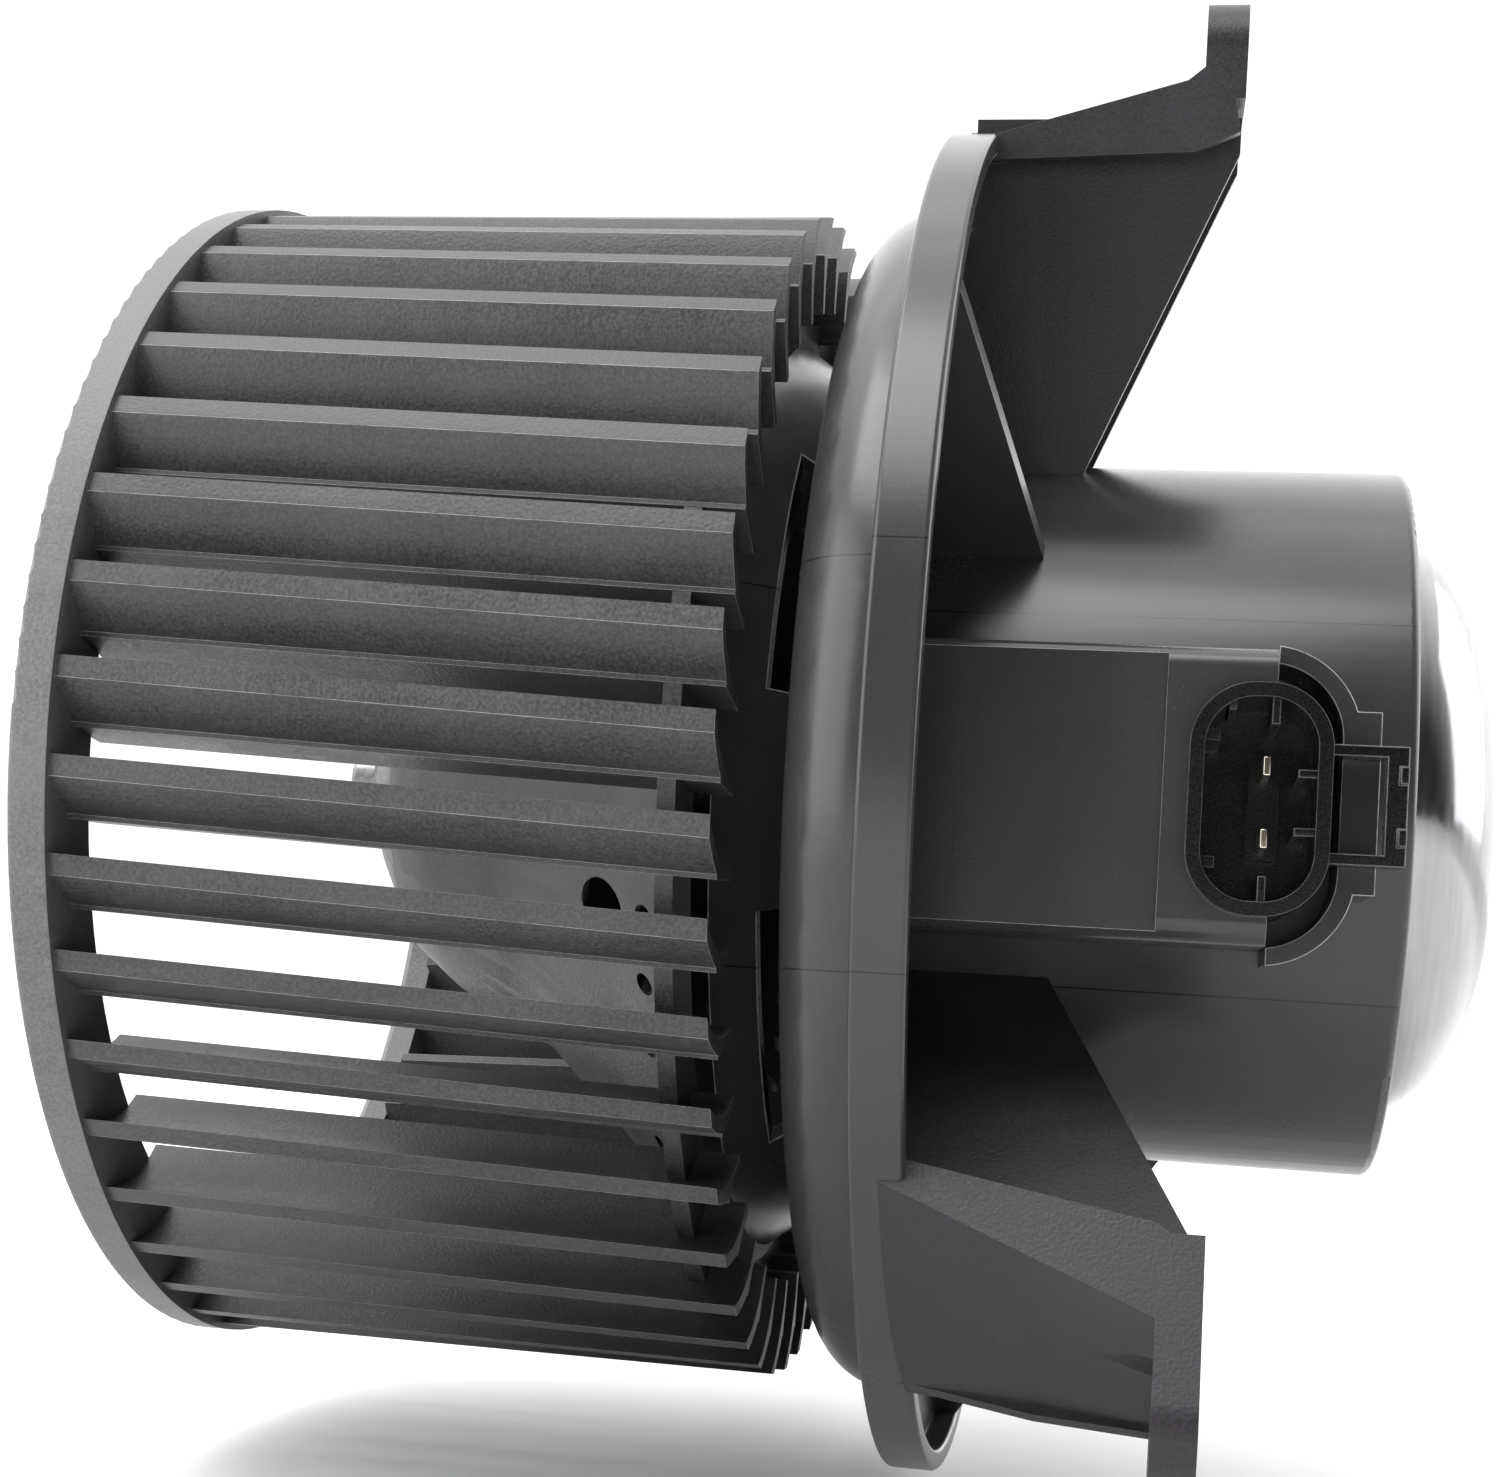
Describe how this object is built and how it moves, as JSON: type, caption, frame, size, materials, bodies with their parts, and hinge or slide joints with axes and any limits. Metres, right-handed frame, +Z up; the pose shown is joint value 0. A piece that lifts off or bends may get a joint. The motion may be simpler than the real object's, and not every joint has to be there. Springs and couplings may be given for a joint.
{
  "type": "blower motor wheel",
  "caption": "Heater blower: squirrel-cage fan wheel on a cup-mounted motor with flange dish, three ear arms, side duct and plug socket.",
  "frame": {"origin": "centre of the circle through the three ear holes, inside the ears' thickness near their wheel-side faces", "axes": "+X along the spin axis from the wheel to the domed motor end, -Y towards the connector, +Z up"},
  "size_m": [0.1636, 0.1822, 0.1836],
  "materials": {
    "wheel_plastic": "satin moulded, finely speckled",
    "housing_plastic": "satin moulded",
    "arm_plastic": "satin moulded",
    "connector_plastic": "semi-gloss",
    "steel": "ground",
    "can_steel": "bright drawn",
    "core_steel": "lacquered laminations",
    "copper": "enamelled wire",
    "bronze": "sintered",
    "brass": "stamped",
    "ferrite": "ground",
    "carbon": "pressed",
    "rubber": "matt"
  },
  "bodies": {
    "housing": {"flange_dish": "housing_plastic", "motor_cup": "housing_plastic", "front_collar": "housing_plastic", "stiffening_gussets": "housing_plastic", "cooling_duct": "housing_plastic", "connector_skirt": "housing_plastic", "arm_top": "arm_plastic", "arm_lower": "arm_plastic", "arm_rear": "arm_plastic", "connector_shell": "connector_plastic", "latch_frame": "connector_plastic", "brush_card": "connector_plastic", "bearing_seat": "steel", "magnet_clips": "steel", "card_screws": "steel", "brush_spring_upper": "steel", "brush_spring_lower": "steel", "motor_can": "can_steel", "end_plate": "can_steel", "choke_coils": "copper", "front_bearing": "bronze", "rear_bearing": "bronze", "terminal_pins": "brass", "brush_holders": "brass", "magnets": "ferrite", "isolator_rings": "rubber"},
    "rotor": {"inlet_ring": "wheel_plastic", "fan_blades": "wheel_plastic", "wheel_hub": "wheel_plastic", "retaining_clip": "steel", "motor_shaft": "steel", "armature_core": "core_steel", "armature_windings": "copper", "commutator": "copper", "thrust_washers": "steel"},
    "upper_brush": {"brush_upper": "carbon"},
    "lower_brush": {"brush_lower": "carbon"}
  },
  "joints": [
    {"name": "fan_spin", "type": "hinge", "parent": "housing", "child": "rotor", "pos_m": [0, 0, 0], "axis": [1, 0, 0], "continuous": true},
    {"name": "upper_brush_slide", "type": "slide", "parent": "housing", "child": "upper_brush", "axis": [0, 0, 1], "range_m": [0, 0.004], "stiffness_N_per_m": 60, "springref_m": -0.006, "deforming": ["brush_spring_upper"]},
    {"name": "lower_brush_slide", "type": "slide", "parent": "housing", "child": "lower_brush", "axis": [0, 0, -1], "range_m": [0, 0.004], "stiffness_N_per_m": 60, "springref_m": -0.006, "deforming": ["brush_spring_lower"]}
  ]
}
